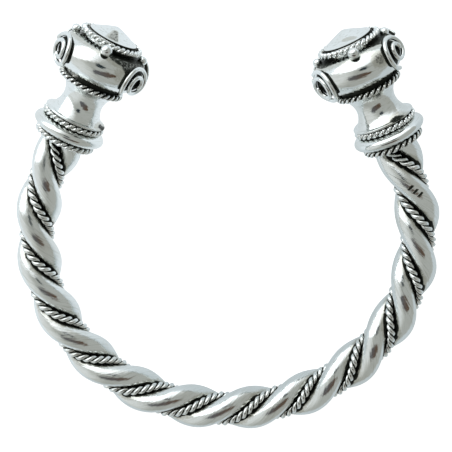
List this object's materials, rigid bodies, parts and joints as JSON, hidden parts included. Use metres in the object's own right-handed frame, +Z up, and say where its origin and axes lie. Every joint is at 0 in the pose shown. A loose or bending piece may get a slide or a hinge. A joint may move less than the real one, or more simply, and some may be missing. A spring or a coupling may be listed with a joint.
{
  "type": "torc bracelet",
  "caption": "Open torc bracelet of twisted silver wire for the wrist, with waisted ball terminals that carry rope rings, wire spirals, granules and low cones.",
  "frame": {"origin": "bottom centre of the bounding box, on the surface that the bracelet lies on", "axes": "+X from the left terminal to the right one, +Y from the back of the hoop towards the gap between the terminals, +Z up from the surface"},
  "size_m": [0.0768, 0.0772, 0.0161],
  "materials": {
    "polished_silver": "polished silver with light wear and dark patina in the recesses",
    "darkened_rope_silver": "twisted silver wire, polished on its crowns and darkened between its plies"
  },
  "bodies": {
    "root": {"hoop_rope_a": "darkened_rope_silver", "hoop_wire_a": "polished_silver", "hoop_rope_b": "darkened_rope_silver", "hoop_wire_b": "polished_silver", "left_terminal": "polished_silver", "left_lower_foot_rope": "darkened_rope_silver", "left_upper_foot_rope": "darkened_rope_silver", "left_neck_rope": "darkened_rope_silver", "left_rim_rope": "darkened_rope_silver", "left_end_cone": "polished_silver", "left_granule_top": "polished_silver", "left_granule_outer": "polished_silver", "left_granule_under": "polished_silver", "left_granule_inner": "polished_silver", "left_spiral_top_outer": "polished_silver", "left_spiral_top_inner": "polished_silver", "left_spiral_under_outer": "polished_silver", "left_spiral_under_inner": "polished_silver", "right_terminal": "polished_silver", "right_lower_foot_rope": "darkened_rope_silver", "right_upper_foot_rope": "darkened_rope_silver", "right_neck_rope": "darkened_rope_silver", "right_rim_rope": "darkened_rope_silver", "right_end_cone": "polished_silver", "right_granule_top": "polished_silver", "right_granule_outer": "polished_silver", "right_granule_under": "polished_silver", "right_granule_inner": "polished_silver", "right_spiral_top_outer": "polished_silver", "right_spiral_top_inner": "polished_silver", "right_spiral_under_outer": "polished_silver", "right_spiral_under_inner": "polished_silver"}
  },
  "joints": []
}
